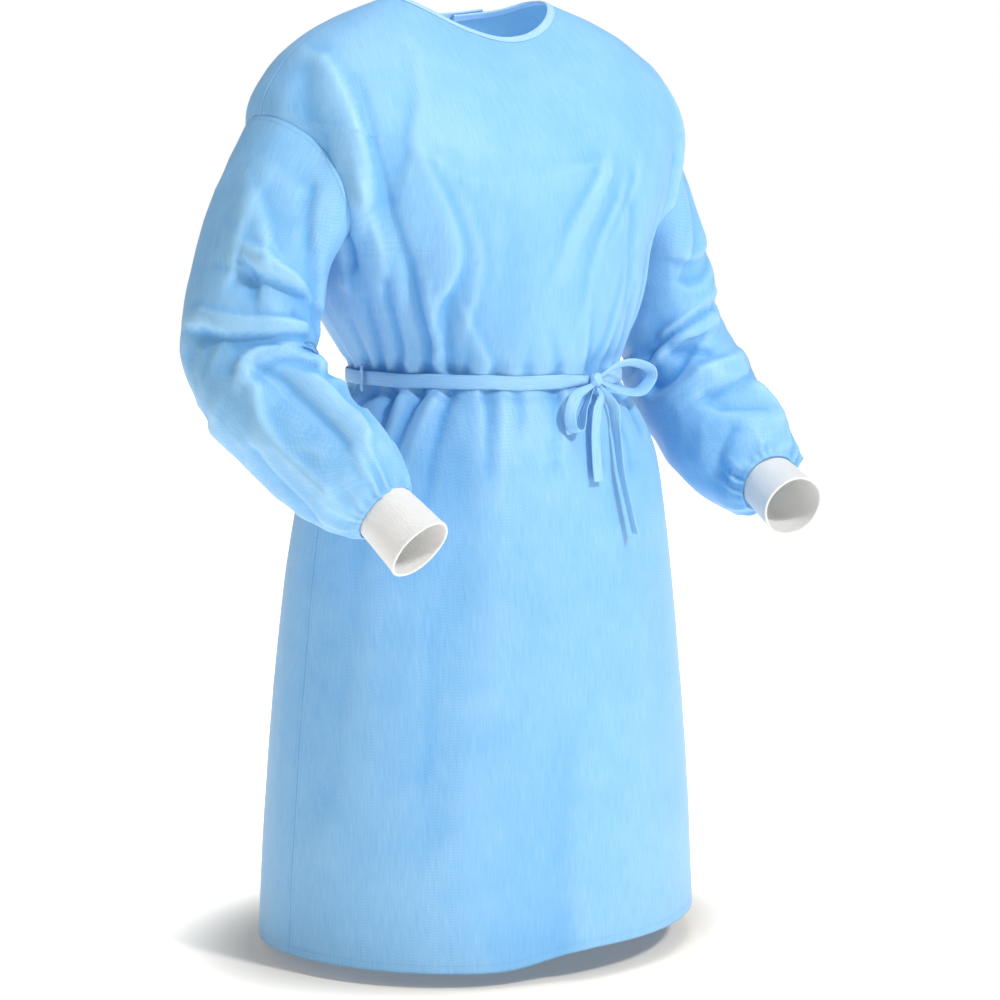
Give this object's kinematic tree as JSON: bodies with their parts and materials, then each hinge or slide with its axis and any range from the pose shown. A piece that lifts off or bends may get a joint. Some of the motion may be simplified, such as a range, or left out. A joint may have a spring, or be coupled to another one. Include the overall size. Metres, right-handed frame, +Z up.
{
  "type": "isolation gown",
  "caption": "Worn-form isolation gown with long gathered sleeves, knit cuffs, bound round neck, overlapping back and a waist belt tied in a bow.",
  "frame": {"origin": "midway between the two high shoulder points at the neck edge, where the wearer's shoulders hold the gown", "axes": "+Z up, -Y towards the wearer's front, +X towards the wearer's left"},
  "size_m": [0.8596, 0.5242, 1.1739],
  "materials": {
    "cloth": "light blue embossed nonwoven with a soft sheen",
    "binding": "paler blue folded nonwoven binding",
    "tape": "light blue folded nonwoven tape",
    "knit": "white fine rib knit"
  },
  "bodies": {
    "root": {"front_panel": "cloth", "right_back_panel": "cloth", "left_back_panel": "cloth", "right_sleeve": "cloth", "left_sleeve": "cloth", "right_cuff": "knit", "left_cuff": "knit", "neck_binding": "binding", "belt_waist": "tape", "right_belt_carrier": "tape", "left_belt_carrier": "tape", "belt_knot": "tape", "bow_left_loop": "tape", "bow_right_loop": "tape", "bow_front_tail": "tape", "bow_side_tail": "tape"}
  },
  "joints": []
}
